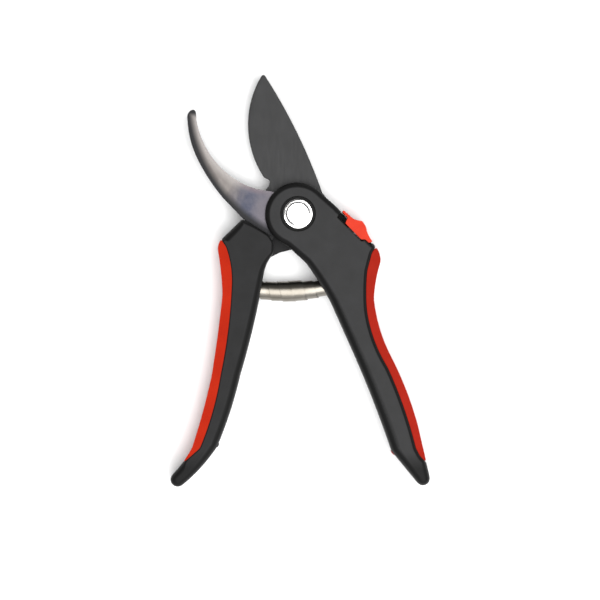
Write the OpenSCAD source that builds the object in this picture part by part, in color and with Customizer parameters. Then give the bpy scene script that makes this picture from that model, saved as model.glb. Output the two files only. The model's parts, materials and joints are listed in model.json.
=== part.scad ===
// Bypass pruner: two crossed levers on one pivot, a hooked counter blade and a convex cutting blade,
// moulded handles with soft strips, a volute spring between them and a thumb catch that locks it shut.
//
// The pruner lies flat on its back at full opening. The origin is on the pivot axis, in the plane that
// it rests on. +Z points out of the front face and +Y runs from the pivot towards the blade tip.
// An outline is a list of [x, y, bulge] corners, counter-clockwise. The bulge is how far the middle of
// the edge to the next corner stands outside the straight line: 0 is straight, below 0 is hollow.

/* [Pivot] */
// Thickness of both handles, and height of the front face
handle_t = 18; // [17.5:0.5:20]
// Diameter of the pivot bolt's shank
bolt_d = 8; // [7:0.5:8.5]
// Diameter of the pivot bolt's polished round head
head_d = 14.5; // [13:0.5:15]
// Diameter of the round boss around the pivot
boss_d = 31.6; // [31:0.2:32]
// Running clearance around the pivot bolt, on the radius
running_gap = 0.05; // [0.02:0.01:0.1]

/* [Blades] */
// Thickness of the cutting blade
blade_t = 3; // [2.5:0.1:3]
// Thickness of the hooked counter blade
hook_t = 4; // [3.5:0.1:4]
// Angle that the cutting lever turns through from open to shut
close_angle = 34; // [32:0.5:34]

/* [Handles] */
// Radius that rounds the long edges of the handles
edge_r = 2.6; // [1:0.1:3]
// Diameter of the screws that clamp the blade tangs
screw_d = 3.2; // [2.5:0.1:4]
// Diameter of the soft strips' moulded keys
key_d = 2.4; // [2:0.1:3]

/* [Catch] */
// How far the thumb catch slides to lock
catch_travel = 4; // [3:0.1:4]
// Clearance around the sliding catch and its latch
slide_gap = 0.15; // [0.1:0.01:0.2]

/* [Spring] */
// Outer diameter of the volute spring at its middle
spring_mid_d = 10.4; // [9:0.1:10.6]
// Outer diameter of the volute spring at its ends
spring_end_d = 8.4; // [7:0.1:8.6]

/* [Hidden] */
$fn = 72;
eps = 0.01;
plate_gap = 0.05;

// levels of the stack, from the back up
blade_z = 6.2;
hook_z = blade_z + blade_t + 0.1;
boss_z = hook_z + hook_t + plate_gap;
nut_t = 3.2;
wave_t = 0.5;
nut_room_z = nut_t + wave_t + 0.2;
recess_depth = 2.2;
recess_z = handle_t - recess_depth;
washer_t = 0.5;
head_t = 2.4;
mid_z = handle_t / 2;

// radii around the pivot
boss_r = boss_d / 2;
bolt_r = bolt_d / 2;
bush_r = bolt_r + 1.2;
hub_r = 14.8;
cam_r = 17.5;
hub_room_r = 18.8;
plate_room_r = 23;
recess_r = 8.5;
nut_room_r = 8.2;
nut_flats = 13;

// farther out than any point of the pruner
reach = 200;

// the longest straight step along a rounded edge, and its largest turn
step_len = 4;
step_turn = 10;

// ---- outlines -------------------------------------------------------------------------------------

function unit(v) = v / norm(v);
function right_of(v) = [v.y, -v.x];
function around(r, a) = [r * cos(a), r * sin(a)];

// points from a up to, but without, b, along an arc that bulges by s to the right of the way from a to b
function arc_points(a, b, s) =
    abs(s) < eps ? [a] :
    let (half = norm(b - a) / 2,
         r = (half * half + s * s) / (2 * s),
         turn = 4 * atan(s / half),
         steps = ceil(max(abs(turn) / step_turn, abs(turn * r) * PI / 180 / step_len)),
         centre = (a + b) / 2 + right_of(unit(b - a)) * (s - r))
    [for (i = [0 : steps - 1])
        let (t = turn * i / steps, v = a - centre)
        centre + [v.x * cos(t) - v.y * sin(t), v.x * sin(t) + v.y * cos(t)]];

function outline(corners) =
    [for (i = [0 : len(corners) - 1])
        let (p = corners[i], q = corners[(i + 1) % len(corners)])
        each arc_points([p.x, p.y], [q.x, q.y], len(p) > 2 ? p[2] : 0)];

// corners on a circle round the pivot, ready to stand in an outline
function round_pivot(r, from, to) =
    let (steps = ceil((to - from) / step_turn))
    [for (i = [0 : steps]) each [around(r, from + (to - from) * i / steps)]];

// an outline moved inwards by d, point by point
function inset(points, d) =
    [for (i = [0 : len(points) - 1])
        let (n = len(points),
             u = unit(points[i] - points[(i + n - 1) % n]),
             v = unit(points[(i + 1) % n] - points[i]),
             m = unit(right_of(u) + right_of(v)))
        points[i] - m * d / max(0.6, m * right_of(u))];

// ---- solids from outlines -------------------------------------------------------------------------

module plate(points, z, t) translate([0, 0, z]) linear_extrude(t) polygon(points);

// the levels and insets of a rounded edge, from the face at z up (way 1) or down (way -1) to the wall;
// it starts a little outside the face, so that the face is cut flat afterwards
function edge_rings(z, r, way, steps) =
    [for (i = [0 : steps])
        let (a = 90 * i / steps, over = r == 0 ? 1 : r / 10)
        if (r > 0 || i == 0) [z + way * ((r + over) * (1 - cos(a)) - over), r * (1 - sin(a))]];

function reversed(list) = [for (i = [len(list) - 1 : -1 : 0]) list[i]];

// an upright slab whose bottom and top edges are rounded by r_low and r_top
module rounded_slab(points, z0, z1, r_low, r_top, steps = 3) {
    n = len(points);
    rings = concat(edge_rings(z0, r_low, 1, steps), reversed(edge_rings(z1, r_top, -1, steps)));
    corners = [for (level = rings) for (p = inset(points, level[1])) [p.x, p.y, level[0]]];
    sides = [for (k = [0 : len(rings) - 2]) for (i = [0 : n - 1])
        let (j = (i + 1) % n) [k * n + i, (k + 1) * n + i, (k + 1) * n + j, k * n + j]];
    intersection() {
        polyhedron(corners, concat([[for (i = [0 : n - 1]) i]], sides,
                                   [[for (i = [n - 1 : -1 : 0]) (len(rings) - 1) * n + i]]));
        translate([-reach, -reach, z0]) cube([2 * reach, 2 * reach, z1 - z0]);
    }
}

module rod(r, z0, z1) translate([0, 0, z0]) cylinder(h = z1 - z0, r = r);

module ring(r_in, r_out, z0, z1) difference() {
    rod(r_out, z0, z1);
    rod(r_in, z0 - 1, z1 + 1);
}

// ---- right lever: counter blade and the handle whose boss covers the pivot ------------------------

// how far the 45 degree upper edge passes from the pivot
right_slope = 15.5;

function catch_to_part(p) = [(p.x + p.y) / sqrt(2), (p.y - p.x) / sqrt(2)];

right_outline = outline(concat(
    round_pivot(boss_r, 45, 250),
    [[3.9, -23.6, -0.4],
     [16, -43, 0],
     [28.1, -70.2, -0.5],
     [44.8, -113.5, 0],
     [57.6, -129.8, 2.6],
     [63.7, -127.3, 0],
     [57.6, -101.2, 0.8],
     [45.6, -70.2, -1.5],
     [36.6, -41, -0.6],
     [39.9, -23, 1.1],
     [35.9, -14, 0]],
    [catch_to_part([10, right_slope])]));

right_strip_line = outline([
    [39, -13.8, 0], [35.6, -19, 0], [33.4, -27.5, 0.4], [33.2, -46, 1.6], [43.2, -74, -1],
    [56.7, -112.9, 0], [64, -122, 0], [80, -122, 0], [80, -13.8, 0]]);

hook_outline = outline(concat(
    [[-51.3, 50.4, 0.9],
     [-53.5, 46, 1.2],
     [-48, 25.4, 0.6],
     [-36.4, 7.9, 0],
     [-26.7, -2.2, 0],
     [-14.1, -9.95, 0]],
    round_pivot(hub_r, 222, 285),
    [[14, -22, 0],
     [21, -32, 0],
     [24, -46, 0],
     [31.5, -45, 0],
     [31.5, -32, 0],
     [27.5, -18, 0]],
    round_pivot(hub_r, 360, 496),
    [[-13.6, 11.06, -0.5],
     [-24.7, 13.7, -1.1],
     [-40.1, 25.6, -1.4],
     [-49.2, 45.5, 0],
     [-49.4, 48.9, 0.7]]));

right_screws = [[19.5, -21.5], [26.5, -40]];
left_screws = [[-26.5, -17], [-28.4, -40]];
screw_head_r = screw_d / 2 + 1.6;
screw_head_z = 1;
screw_head_t = 2.2;
screw_end_z = 15;

module screws(places) color("dimgray") for (p = places) translate([p.x, p.y, 0]) {
    rod(screw_head_r, screw_head_z, screw_head_z + screw_head_t);
    rod(screw_d / 2, screw_head_z + screw_head_t - eps, screw_end_z);
}

module screw_holes(places) for (p = places) translate([p.x, p.y, 0]) {
    rod(screw_head_r + 0.3, -1, screw_head_z + screw_head_t);
    rod(screw_d / 2 + 0.02, 0, screw_end_z + 0.3);
}

module screws_through(places) for (p = places) translate([p.x, p.y, 0])
    rod(screw_d / 2 + 0.1, 0, handle_t);

// the soft strips are moulded through a hole in the handle, which keys them in place
right_key = [[60, -113], [45.1, -115.3]];
left_key = [[-51.5, -112], [-39.9, -113.6]];

module key(ends, extra = 0) {
    way = ends[1] - ends[0];
    translate([ends[0].x, ends[0].y, mid_z])
        rotate([0, 90, atan2(way.y, way.x)])
            cylinder(h = norm(way), r = key_d / 2 + extra);
}

module right_shell() rounded_slab(right_outline, 0, handle_t, edge_r, edge_r);

module right_handle() color([0.22, 0.22, 0.23]) union() {
    difference() {
        right_shell();
        plate(right_strip_line, -1, handle_t + 2);
        rod(hub_room_r, -1, boss_z);
        intersection() {
            rod(plate_room_r, -1, blade_z + 0.1);
            plate([[0, 0], [-plate_room_r, -plate_room_r], [plate_room_r, -plate_room_r]], -1, blade_z + 2);
        }
        rod(recess_r, recess_z, handle_t + 1);
        rod(bolt_r + running_gap, 0, handle_t + 1);
        plate(inset(hook_outline, -plate_gap), hook_z - plate_gap, hook_t + 2 * plate_gap);
        screw_holes(right_screws);
        key(right_key, plate_gap);
        spring_pocket(right_seat);
        catch_room();
    }
    spring_peg(right_seat);
}

module right_grip() color([0.8, 0.16, 0.05]) {
    intersection() {
        right_shell();
        plate(inset(right_strip_line, plate_gap / 2), -1, handle_t + 2);
    }
    key(right_key);
}

module hook_blade() color([0.6, 0.6, 0.62]) difference() {
    plate(hook_outline, hook_z, hook_t);
    rod(bolt_r + running_gap, 0, handle_t);
    screws_through(right_screws);
}

module right_handle_screws() screws(right_screws);

// ---- left lever: cutting blade and the handle with the back boss ----------------------------------

left_outline = outline([
    [-26.86, -2.46, 0],
    [-36.4, -11.6, 0.8],
    [-39, -17.8, -0.4],
    [-37, -39, -0.3],
    [-42.2, -77.9, -0.5],
    [-51.5, -112.9, -0.6],
    [-61.1, -126.4, 3.2],
    [-55.5, -130.7, 0.9],
    [-39.2, -112.7, 0.8],
    [-28, -77.9, 0.4],
    [-19.2, -43, 0],
    [-16.4, -27.5, -0.6],
    [-11.9, -19, 0],
    [-12, -13.6, 0],
    [-14.26, -10.21, 0]]);

left_plate_outline = outline(concat(
    [[-28, -5, 0],
     [-30, -14, 0],
     [-22, -24, 0],
     [-14.5, -21.3, 0],
     [-8.8, -18.5, 0]],
    round_pivot(boss_r, 282, 490)));

left_strip_line = outline([
    [-39, -9.5, 0], [-80, -9.5, 0], [-80, -122, 0], [-60, -121.4, 0], [-54.5, -119.3, 0],
    [-48, -112.9, 1.1], [-37.8, -77.9, 0.9], [-32.4, -35, 1], [-34.9, -15.9, 0]]);

blade_outline = outline(concat(
    [[-17.46, 67.56, 7.15],
     [-16.7, 18.1, 0.2],
     [-13.87, 16.39, -0.3],
     [-13.58, 14.7, 0],
     [-15.81, 11.35, 0]],
    round_pivot(hub_r, 165, 184),
    [[-25.5, -9.5, 0],
     [-31.2, -22, 0],
     [-31.2, -48, 0],
     [-25, -48, 0],
     [-23, -31, 0],
     [-17, -20.5, 0]],
    round_pivot(hub_r, 222, 272),
    round_pivot(cam_r, 275, 326.5),
    round_pivot(hub_r, 328, 390),
    [[11.64, 10.8, 1.76],
     [-15, 66.1, 0.2]]));

module left_shell() rounded_slab(left_outline, 0, handle_t, edge_r, edge_r);

module left_handle() color([0.2, 0.2, 0.21]) union() {
    difference() {
        union() {
            left_shell();
            rounded_slab(left_plate_outline, 0, blade_z, 2, 0);
        }
        plate(left_strip_line, -1, handle_t + 2);
        plate(inset(blade_outline, -plate_gap), blade_z, blade_t + plate_gap);
        rod(nut_room_r, -1, nut_room_z);
        rod(bush_r + plate_gap, 0, handle_t);
        screw_holes(left_screws);
        key(left_key, plate_gap);
        spring_pocket(left_seat);
    }
    spring_peg(left_seat);
}

module left_grip() color([0.8, 0.16, 0.05]) {
    intersection() {
        left_shell();
        plate(inset(left_strip_line, plate_gap / 2), -1, handle_t + 2);
    }
    key(left_key);
}

module cutting_blade() color([0.3, 0.3, 0.31]) difference() {
    plate(blade_outline, blade_z, blade_t);
    rod(bush_r + plate_gap / 2, 0, handle_t);
    screws_through(left_screws);
    rotate(-close_angle) in_catch_frame() translate([-catch_travel, 0, 0])
        plate(inset(latch_bar, -0.3), 0, handle_t);
}

module left_handle_screws() screws(left_screws);

// ---- pivot ----------------------------------------------------------------------------------------

module pivot_bolt() color([0.93, 0.93, 0.94]) {
    rod(bolt_r, 0, recess_z + washer_t + eps);
    translate([0, 0, recess_z + washer_t]) {
        cylinder(h = head_t - 0.7, r = head_d / 2);
        translate([0, 0, head_t - 0.7]) cylinder(h = 0.7, r1 = head_d / 2, r2 = head_d / 2 - 0.9, $fn = 96);
    }
}

module head_washer() color([0.1, 0.1, 0.1])
    ring(bolt_r + running_gap, recess_r - 0.2, recess_z, recess_z + washer_t);

module pivot_nut() color("silver") difference() {
    cylinder(h = nut_t, r = nut_flats / sqrt(3), $fn = 6);
    rod(bolt_r + 0.02, -1, nut_t + 1);
}

module wave_washer() color("silver")
    ring(bolt_r + running_gap, nut_room_r - 0.6, nut_t + plate_gap, nut_t + plate_gap + wave_t);

module pivot_bushing() color([0.7, 0.6, 0.35])
    ring(bolt_r + running_gap, bush_r, nut_room_z, blade_z + blade_t);

// ---- thumb catch ----------------------------------------------------------------------------------
// Its own frame has X running along the handle's upper edge away from the pivot, and Y out of that edge.

module in_catch_frame() rotate(-45) children();

catch_floor_z = 3;
catch_z0 = catch_floor_z + 0.2;
catch_z1 = handle_t - 1.2;
catch_outline = outline([
    [14.3, 15.75, 0], [18.2, 15.7, 0], [19.1, 12.7, 0], [30.6, 12.5, 0], [31.7, 14.05, 0],
    [34.2, 14.2, 0], [35, 16, -0.3], [29.2, 17.7, 0.3], [26, 19.1, 0.4], [23.6, 19, -0.3],
    [20, 17.1, 0], [14.3, 16.8, 0]]);
latch_bar = [[18.6, 4.5], [34, 4.5], [34, 9.5], [18.6, 9.5]];
latch_foot = [[22, 9], [30, 9], [30, 15], [22, 15]];
latch_z = blade_z + 0.1;
latch_t = blade_t - 0.2;
pin_place = [26, 13.6];
pin_r = 1.2;
pin_z0 = 4.5;
leaf_t = 0.4;

// the pocket in the handle's edge, the channel of the latch and the seat of its leaf spring
module catch_room() in_catch_frame() {
    plate([[19.1 - catch_travel - 0.3, 12.3], [30.9, 12.3], [32, 13.85], [35.4, 13.85],
           [36.4, 24], [13.8, 24], [13.8, 15.5]], catch_floor_z, handle_t);
    plate([[latch_bar[0].x - catch_travel - 3, 4.5 - slide_gap], [34 + slide_gap, 4.5 - slide_gap],
           [34 + slide_gap, 9.5 + slide_gap], [latch_bar[0].x - catch_travel - 3, 9.5 + slide_gap]],
          blade_z, blade_t);
    plate([[22 - catch_travel - slide_gap, 9], [30 + slide_gap, 9], [30 + slide_gap, 13],
           [22 - catch_travel - slide_gap, 13]], blade_z, blade_t);
    plate([[23.6, 2.2], [33.4, 2.2], [33.4, 5], [23.6, 5]], blade_z, blade_t);
}

module thumb_catch() color([0.95, 0.3, 0.18]) in_catch_frame() difference() {
    rounded_slab(catch_outline, catch_z0, catch_z1, 0.4, 0.4, 2);
    plate([[21, 9], [30.9, 9], [30.9, 15 + 0.1], [21, 15 + 0.1]], latch_z - plate_gap,
          latch_t + 2 * plate_gap);
    translate([pin_place.x, pin_place.y, 0]) rod(pin_r + 0.02, pin_z0, handle_t - pin_z0);
}

module catch_latch() color("silver") in_catch_frame() difference() {
    union() {
        plate(latch_bar, latch_z, latch_t);
        plate(latch_foot, latch_z, latch_t);
    }
    translate([pin_place.x, pin_place.y, 0]) rod(pin_r + 0.02, 0, handle_t);
}

module catch_pin() color("silver") in_catch_frame()
    translate([pin_place.x, pin_place.y, 0]) rod(pin_r, pin_z0, handle_t - pin_z0);

module catch_spring() color("silver") in_catch_frame()
    plate(outline([[23.8, 2.3, -1.5], [33.2, 2.3, 0], [33.2, 2.3 + leaf_t, 1.5], [23.8, 2.3 + leaf_t, 0]]),
          latch_z, latch_t);

// ---- volute spring and its seats ------------------------------------------------------------------
// A seat is [the middle of the pocket's floor, the direction that the peg points in]

left_seat = [[-21.4, -37], -2];
right_seat = [[17.4, -36.1], 187];
pocket_r = spring_end_d / 2 + 1.4;
peg_r = 1.9;
peg_len = 6.8;
pocket_len = 16;
spring_room = 0.4;

module at_seat(seat) translate([seat[0].x, seat[0].y, mid_z]) rotate([0, 90, seat[1]]) children();

module spring_pocket(seat) at_seat(seat) cylinder(h = pocket_len, r = pocket_r);

module spring_peg(seat) at_seat(seat) translate([0, 0, -1]) cylinder(h = peg_len + 1, r = peg_r);

module volute_spring() color([0.75, 0.73, 0.7]) {
    way = right_seat[0] - left_seat[0];
    long = norm(way) - 2 * spring_room;
    end_r = spring_end_d / 2;
    wall = 1.2;
    translate([left_seat[0].x, left_seat[0].y, mid_z])
        rotate([0, 90, atan2(way.y, way.x)])
            translate([0, 0, spring_room])
                rotate_extrude()
                    polygon([[end_r - wall, 0], [end_r, 0], [spring_mid_d / 2, long / 2], [end_r, long],
                             [end_r - wall, long]]);
}

right_handle();
right_grip();
hook_blade();
right_handle_screws();
pivot_bolt();
head_washer();
pivot_nut();
wave_washer();
catch_spring();
left_handle();
left_grip();
cutting_blade();
left_handle_screws();
pivot_bushing();
thumb_catch();
catch_latch();
catch_pin();
volute_spring();
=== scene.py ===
"""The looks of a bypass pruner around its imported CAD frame. Lengths are millimetres until a mesh is made.

An outline is a list of (x, y, bulge) corners, counter-clockwise. The bulge is how far the middle of the
edge to the next corner stands outside the straight line: 0 is straight, below 0 is hollow.
"""

import json
import math

import bmesh
import bpy
import numpy as np
from mathutils import Matrix, Vector
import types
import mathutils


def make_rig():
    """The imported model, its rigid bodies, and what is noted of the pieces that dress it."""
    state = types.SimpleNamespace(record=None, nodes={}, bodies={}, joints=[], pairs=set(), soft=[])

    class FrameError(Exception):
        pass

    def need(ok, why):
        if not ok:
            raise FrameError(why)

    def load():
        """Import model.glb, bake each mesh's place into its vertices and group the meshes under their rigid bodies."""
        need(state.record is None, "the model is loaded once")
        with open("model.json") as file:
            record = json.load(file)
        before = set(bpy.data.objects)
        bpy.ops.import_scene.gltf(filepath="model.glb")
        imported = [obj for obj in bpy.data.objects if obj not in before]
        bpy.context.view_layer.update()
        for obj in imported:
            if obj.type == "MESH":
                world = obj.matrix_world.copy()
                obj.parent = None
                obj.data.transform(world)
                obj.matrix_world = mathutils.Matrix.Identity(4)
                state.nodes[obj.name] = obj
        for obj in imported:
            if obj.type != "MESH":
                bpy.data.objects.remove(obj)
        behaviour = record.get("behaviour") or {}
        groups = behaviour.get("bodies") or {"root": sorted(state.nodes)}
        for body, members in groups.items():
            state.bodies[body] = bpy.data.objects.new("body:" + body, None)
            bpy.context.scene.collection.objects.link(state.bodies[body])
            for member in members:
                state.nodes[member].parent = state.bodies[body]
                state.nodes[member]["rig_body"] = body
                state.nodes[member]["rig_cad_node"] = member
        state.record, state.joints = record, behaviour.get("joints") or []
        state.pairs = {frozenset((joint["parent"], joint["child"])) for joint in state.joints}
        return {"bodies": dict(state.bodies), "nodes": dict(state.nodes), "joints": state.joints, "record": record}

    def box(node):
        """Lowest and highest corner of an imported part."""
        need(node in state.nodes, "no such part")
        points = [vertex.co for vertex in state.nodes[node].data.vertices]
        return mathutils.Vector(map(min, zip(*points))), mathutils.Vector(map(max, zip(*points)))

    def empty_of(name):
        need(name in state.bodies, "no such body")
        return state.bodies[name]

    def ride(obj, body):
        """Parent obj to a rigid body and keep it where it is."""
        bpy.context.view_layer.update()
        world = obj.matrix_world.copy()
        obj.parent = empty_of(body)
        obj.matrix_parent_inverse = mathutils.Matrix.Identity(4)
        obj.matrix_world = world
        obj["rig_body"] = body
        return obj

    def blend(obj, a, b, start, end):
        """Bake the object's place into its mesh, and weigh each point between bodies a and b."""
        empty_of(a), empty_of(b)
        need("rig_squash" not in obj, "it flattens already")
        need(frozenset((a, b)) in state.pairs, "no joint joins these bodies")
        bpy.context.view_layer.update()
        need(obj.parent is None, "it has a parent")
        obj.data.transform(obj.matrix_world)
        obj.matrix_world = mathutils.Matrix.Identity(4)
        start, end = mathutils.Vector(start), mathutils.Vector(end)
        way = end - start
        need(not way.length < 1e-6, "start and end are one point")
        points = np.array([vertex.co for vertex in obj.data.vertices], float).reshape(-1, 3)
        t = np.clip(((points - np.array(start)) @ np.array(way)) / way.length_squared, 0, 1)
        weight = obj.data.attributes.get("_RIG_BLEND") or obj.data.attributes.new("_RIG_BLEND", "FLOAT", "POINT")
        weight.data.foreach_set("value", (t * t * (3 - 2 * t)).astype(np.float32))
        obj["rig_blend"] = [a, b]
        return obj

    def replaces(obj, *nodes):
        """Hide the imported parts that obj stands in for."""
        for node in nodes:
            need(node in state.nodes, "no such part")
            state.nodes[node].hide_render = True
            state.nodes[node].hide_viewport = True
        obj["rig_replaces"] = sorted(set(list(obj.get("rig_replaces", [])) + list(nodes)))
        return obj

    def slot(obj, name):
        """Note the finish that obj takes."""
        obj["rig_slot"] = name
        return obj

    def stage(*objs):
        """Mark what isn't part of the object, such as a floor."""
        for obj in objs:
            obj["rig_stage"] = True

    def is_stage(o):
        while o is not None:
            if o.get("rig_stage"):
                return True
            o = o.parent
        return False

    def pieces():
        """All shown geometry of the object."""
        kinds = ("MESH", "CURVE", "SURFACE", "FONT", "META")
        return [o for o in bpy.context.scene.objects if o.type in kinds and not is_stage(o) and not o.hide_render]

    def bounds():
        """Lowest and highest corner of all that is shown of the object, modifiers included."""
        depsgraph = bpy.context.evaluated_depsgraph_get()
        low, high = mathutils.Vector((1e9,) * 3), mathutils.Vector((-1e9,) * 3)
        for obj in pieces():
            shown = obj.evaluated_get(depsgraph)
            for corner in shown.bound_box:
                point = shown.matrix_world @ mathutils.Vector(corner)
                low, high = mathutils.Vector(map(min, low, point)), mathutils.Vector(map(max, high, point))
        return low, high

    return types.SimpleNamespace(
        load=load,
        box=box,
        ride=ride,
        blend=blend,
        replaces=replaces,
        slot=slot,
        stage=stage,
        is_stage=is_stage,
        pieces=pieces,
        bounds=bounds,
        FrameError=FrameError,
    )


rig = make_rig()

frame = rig.load()
cad_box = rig.bounds()

MM = 0.001
SPACING = 0.6  # between the points of an outline
WELD = 0.01  # points nearer than this are one


def levels(node):
    """The lowest and highest z of a CAD node."""
    low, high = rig.box(node)
    return low.z / MM, high.z / MM


# levels and radii that the CAD frame gives
BACK, FRONT = levels("right_handle")
BLADE_LOW, BLADE_HIGH = levels("cutting_blade")
HOOK_LOW, HOOK_HIGH = levels("hook_blade")
CATCH_LOW, CATCH_HIGH = levels("thumb_catch")
WASHER_LOW, WASHER_HIGH = levels("head_washer")
HEAD_HIGH = levels("pivot_bolt")[1]
HEAD_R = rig.box("pivot_bolt")[1].x / MM
WASHER_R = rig.box("head_washer")[1].x / MM
BUSH_LOW, BUSH_HIGH = levels("pivot_bushing")
BUSH_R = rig.box("pivot_bushing")[1].x / MM
NUT_LOW, NUT_HIGH = levels("pivot_nut")
NUT_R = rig.box("pivot_nut")[1].x / MM
WAVE_LOW, WAVE_HIGH = levels("wave_washer")
WAVE_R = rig.box("wave_washer")[1].x / MM
SCREW_LOW, SCREW_HIGH = levels("right_handle_screws")
MID = (BACK + FRONT) / 2

# levels and radii that no node's box gives
PLAY = 0.05  # between pieces that slide, turn or stand on each other
OVER = 1  # how far a cutter reaches past the face that it opens
BOLT_R = 4
HUB_R = 14.8  # the round part of both blades
CAM_R = 17.5  # the cutting blade's wider round part, which holds the catch's notch
BOSS_R = 15.8  # the left handle's round plate
BOSS_LOW = HOOK_HIGH + PLAY  # the underside of the right handle's boss
HUB_ROOM_R = 18.8  # the room under that boss, in which the cutting lever turns
PLATE_ROOM_R = 23  # the room that the left handle's plate swings into
RECESS_R = 8.5  # for the washer round the bolt's head
NUT_ROOM_R = 8.2
NUT_ROOM_HIGH = WAVE_HIGH + 0.15
POCKET_R = 5.6  # the holes for the spring's ends
POCKET_LONG = 16  # from a hole's floor to clear of the handle
PEG_R = 1.9  # the pegs in those holes
PEG_HIGH = 6.8
SCREW_R = 1.6
SCREW_HEAD_R = 3.2
SCREW_HEAD_TOP = SCREW_LOW + 2.2
SHUT_TURN = 34  # degrees that the left lever turns from open, as drawn, to shut

# ---- outlines ----


def round_pivot(radius, start, end, step=3, centre=(0, 0)):
    """Corners on a circle round the pivot or another centre, from one angle to the other in degrees."""
    angles = np.radians(np.linspace(start, end, math.ceil((end - start) / step) + 1))
    return [(centre[0] + radius * math.cos(a), centre[1] + radius * math.sin(a), 0) for a in angles]


def circle(a, b):
    """The centre and the radius of the arc from corner a to corner b."""
    start, way = np.array(a[:2], float), np.array(b[:2], float) - np.array(a[:2], float)
    length, bulge = np.linalg.norm(way), a[2]
    radius = ((length / 2) ** 2 + bulge**2) / (2 * bulge)
    return start + way / 2 + np.array([way[1], -way[0]]) / length * (bulge - radius), radius


def arc(a, b):
    """Points from corner a up to corner b."""
    start, way = np.array(a[:2], float), np.array(b[:2], float) - np.array(a[:2], float)
    length = np.linalg.norm(way)
    if abs(a[2]) < WELD:
        return start + np.outer(np.arange(0, 1, 1 / max(1, round(length / SPACING))), way)
    centre, radius = circle(a, b)
    turn = 4 * math.atan(2 * a[2] / length)
    angles = turn * np.arange(0, 1, 1 / max(1, round(abs(radius * turn) / SPACING)))
    v = start - centre
    return centre + np.stack([v[0] * np.cos(angles) - v[1] * np.sin(angles),
                              v[0] * np.sin(angles) + v[1] * np.cos(angles)], 1)


def outline(corners):
    """Close points round a closed outline."""
    return np.vstack([arc(a, b) for a, b in zip(corners, corners[1:] + corners[:1])])


def soften(values, passes):
    """Closed rows of points or numbers, each moved towards its neighbours' middle."""
    for _ in range(passes):
        values = (np.roll(values, 1, 0) + 2 * values + np.roll(values, -1, 0)) / 4
    return values


def nearest(line, points):
    """For each point, the nearest place on a closed line: where, how many segments along, how far."""
    way = np.roll(line, -1, 0) - line
    gap = points[:, None] - line
    t = np.clip((gap * way).sum(-1) / np.maximum((way * way).sum(-1), 1e-9), 0, 1)
    place = line + t[..., None] * way
    far = np.linalg.norm(points[:, None] - place, axis=-1)
    k = far.argmin(1)
    rows = np.arange(len(points))
    return place[rows, k], k + t[rows, k], far[rows, k]


def inside(points, line):
    """Which points lie inside a closed line."""
    a, b = line, np.roll(line, -1, 0)
    x, y = points[:, :1], points[:, 1:]
    crosses = (a[:, 1] > y) != (b[:, 1] > y)
    slope = (b[:, 0] - a[:, 0]) / np.where(b[:, 1] == a[:, 1], 1, b[:, 1] - a[:, 1])
    return (crosses & (x < a[:, 0] + (y - a[:, 1]) * slope)).sum(1) % 2 == 1


def inwards(points):
    """For each point of a closed outline, the unit vector that points into it."""
    way = np.roll(points, -1, 0) - np.roll(points, 1, 0)
    return np.stack([-way[:, 1], way[:, 0]], 1) / np.maximum(np.linalg.norm(way, axis=1), 1e-9)[:, None]


SHALLOW = 0.2  # an inset up to this depth can't reach another edge


def insets(points, depths):
    """The closed outline moved inwards by each depth, a number or one for each point.

    Points that would land too near another edge gather where the edges beside them meet."""
    count, made = len(points), []
    every = np.arange(count)
    for depth in depths:
        depth = np.broadcast_to(np.asarray(depth, float), count)
        moved = points + inwards(points) * depth[:, None]
        if depth.max() > SHALLOW:
            _, at, far = nearest(points, moved)
            want = np.interp(at, np.arange(count + 1), np.append(depth, depth[0]))
            good = np.nonzero(np.where(inside(moved, points), far, -far) > want - 3 * WELD)[0]
            moved = np.stack([np.interp(every, good, axis[good], period=count) for axis in moved.T], 1)
        made.append(moved)
    return made


def half_thickness(points):
    """The radius of the largest disc inside a closed outline that touches it at each point."""
    gap = points[None] - points[:, None]
    ahead = (gap * inwards(points)[:, None]).sum(-1)
    radius = (gap * gap).sum(-1) / np.where(ahead > 1e-3, 2 * ahead, 1e-9)
    return radius.min(1)


def inset(points, depth):
    """The closed outline moved inwards by depth, or outwards if it is below 0."""
    return insets(points, [depth])[0]


def along(points, marks):
    """A value for each point of a closed outline, which eases between (x, y, value) marks near it."""
    count = len(points)
    marks = np.array(marks, float)
    at = nearest(points, marks[:, :2])[1] % count
    order = np.argsort(at)
    return soften(np.interp(np.arange(count), at[order], marks[order, 2], period=count), 6)


def one_run(points, wanted):
    """The longest run of wanted points that follow each other on a closed line."""
    starts, ends = (np.nonzero(wanted & ~np.roll(wanted, way))[0] for way in (1, -1))
    length, start = max((int(((ends - start) % len(points)).min()), int(start)) for start in starts)
    return np.roll(points, -start, 0)[: length + 1]


def split(whole, strip):
    """A closed outline parted by a strip's: the points and joint marks of the rest, and of the strip."""
    in_strip, in_whole = inside(whole, strip), inside(strip, whole)
    left, cut_off, joint = one_run(whole, ~in_strip), one_run(whole, in_strip), one_run(strip, in_whole)
    marks = [np.concatenate([np.zeros(len(a)), np.ones(len(joint))]) for a in (left, cut_off)]
    return (np.vstack([left, joint[::-1]]), marks[0]), (np.vstack([cut_off, joint]), marks[1])


def turned(points, degrees):
    """Points turned round the pivot."""
    c, s = math.cos(math.radians(degrees)), math.sin(math.radians(degrees))
    return np.asarray(points, float) @ np.array([[c, s], [-s, c]])


def rectangle(left, low, right, high):
    """A rectangle's outline."""
    return outline([(left, low, 0), (right, low, 0), (right, high, 0), (left, high, 0)])


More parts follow.
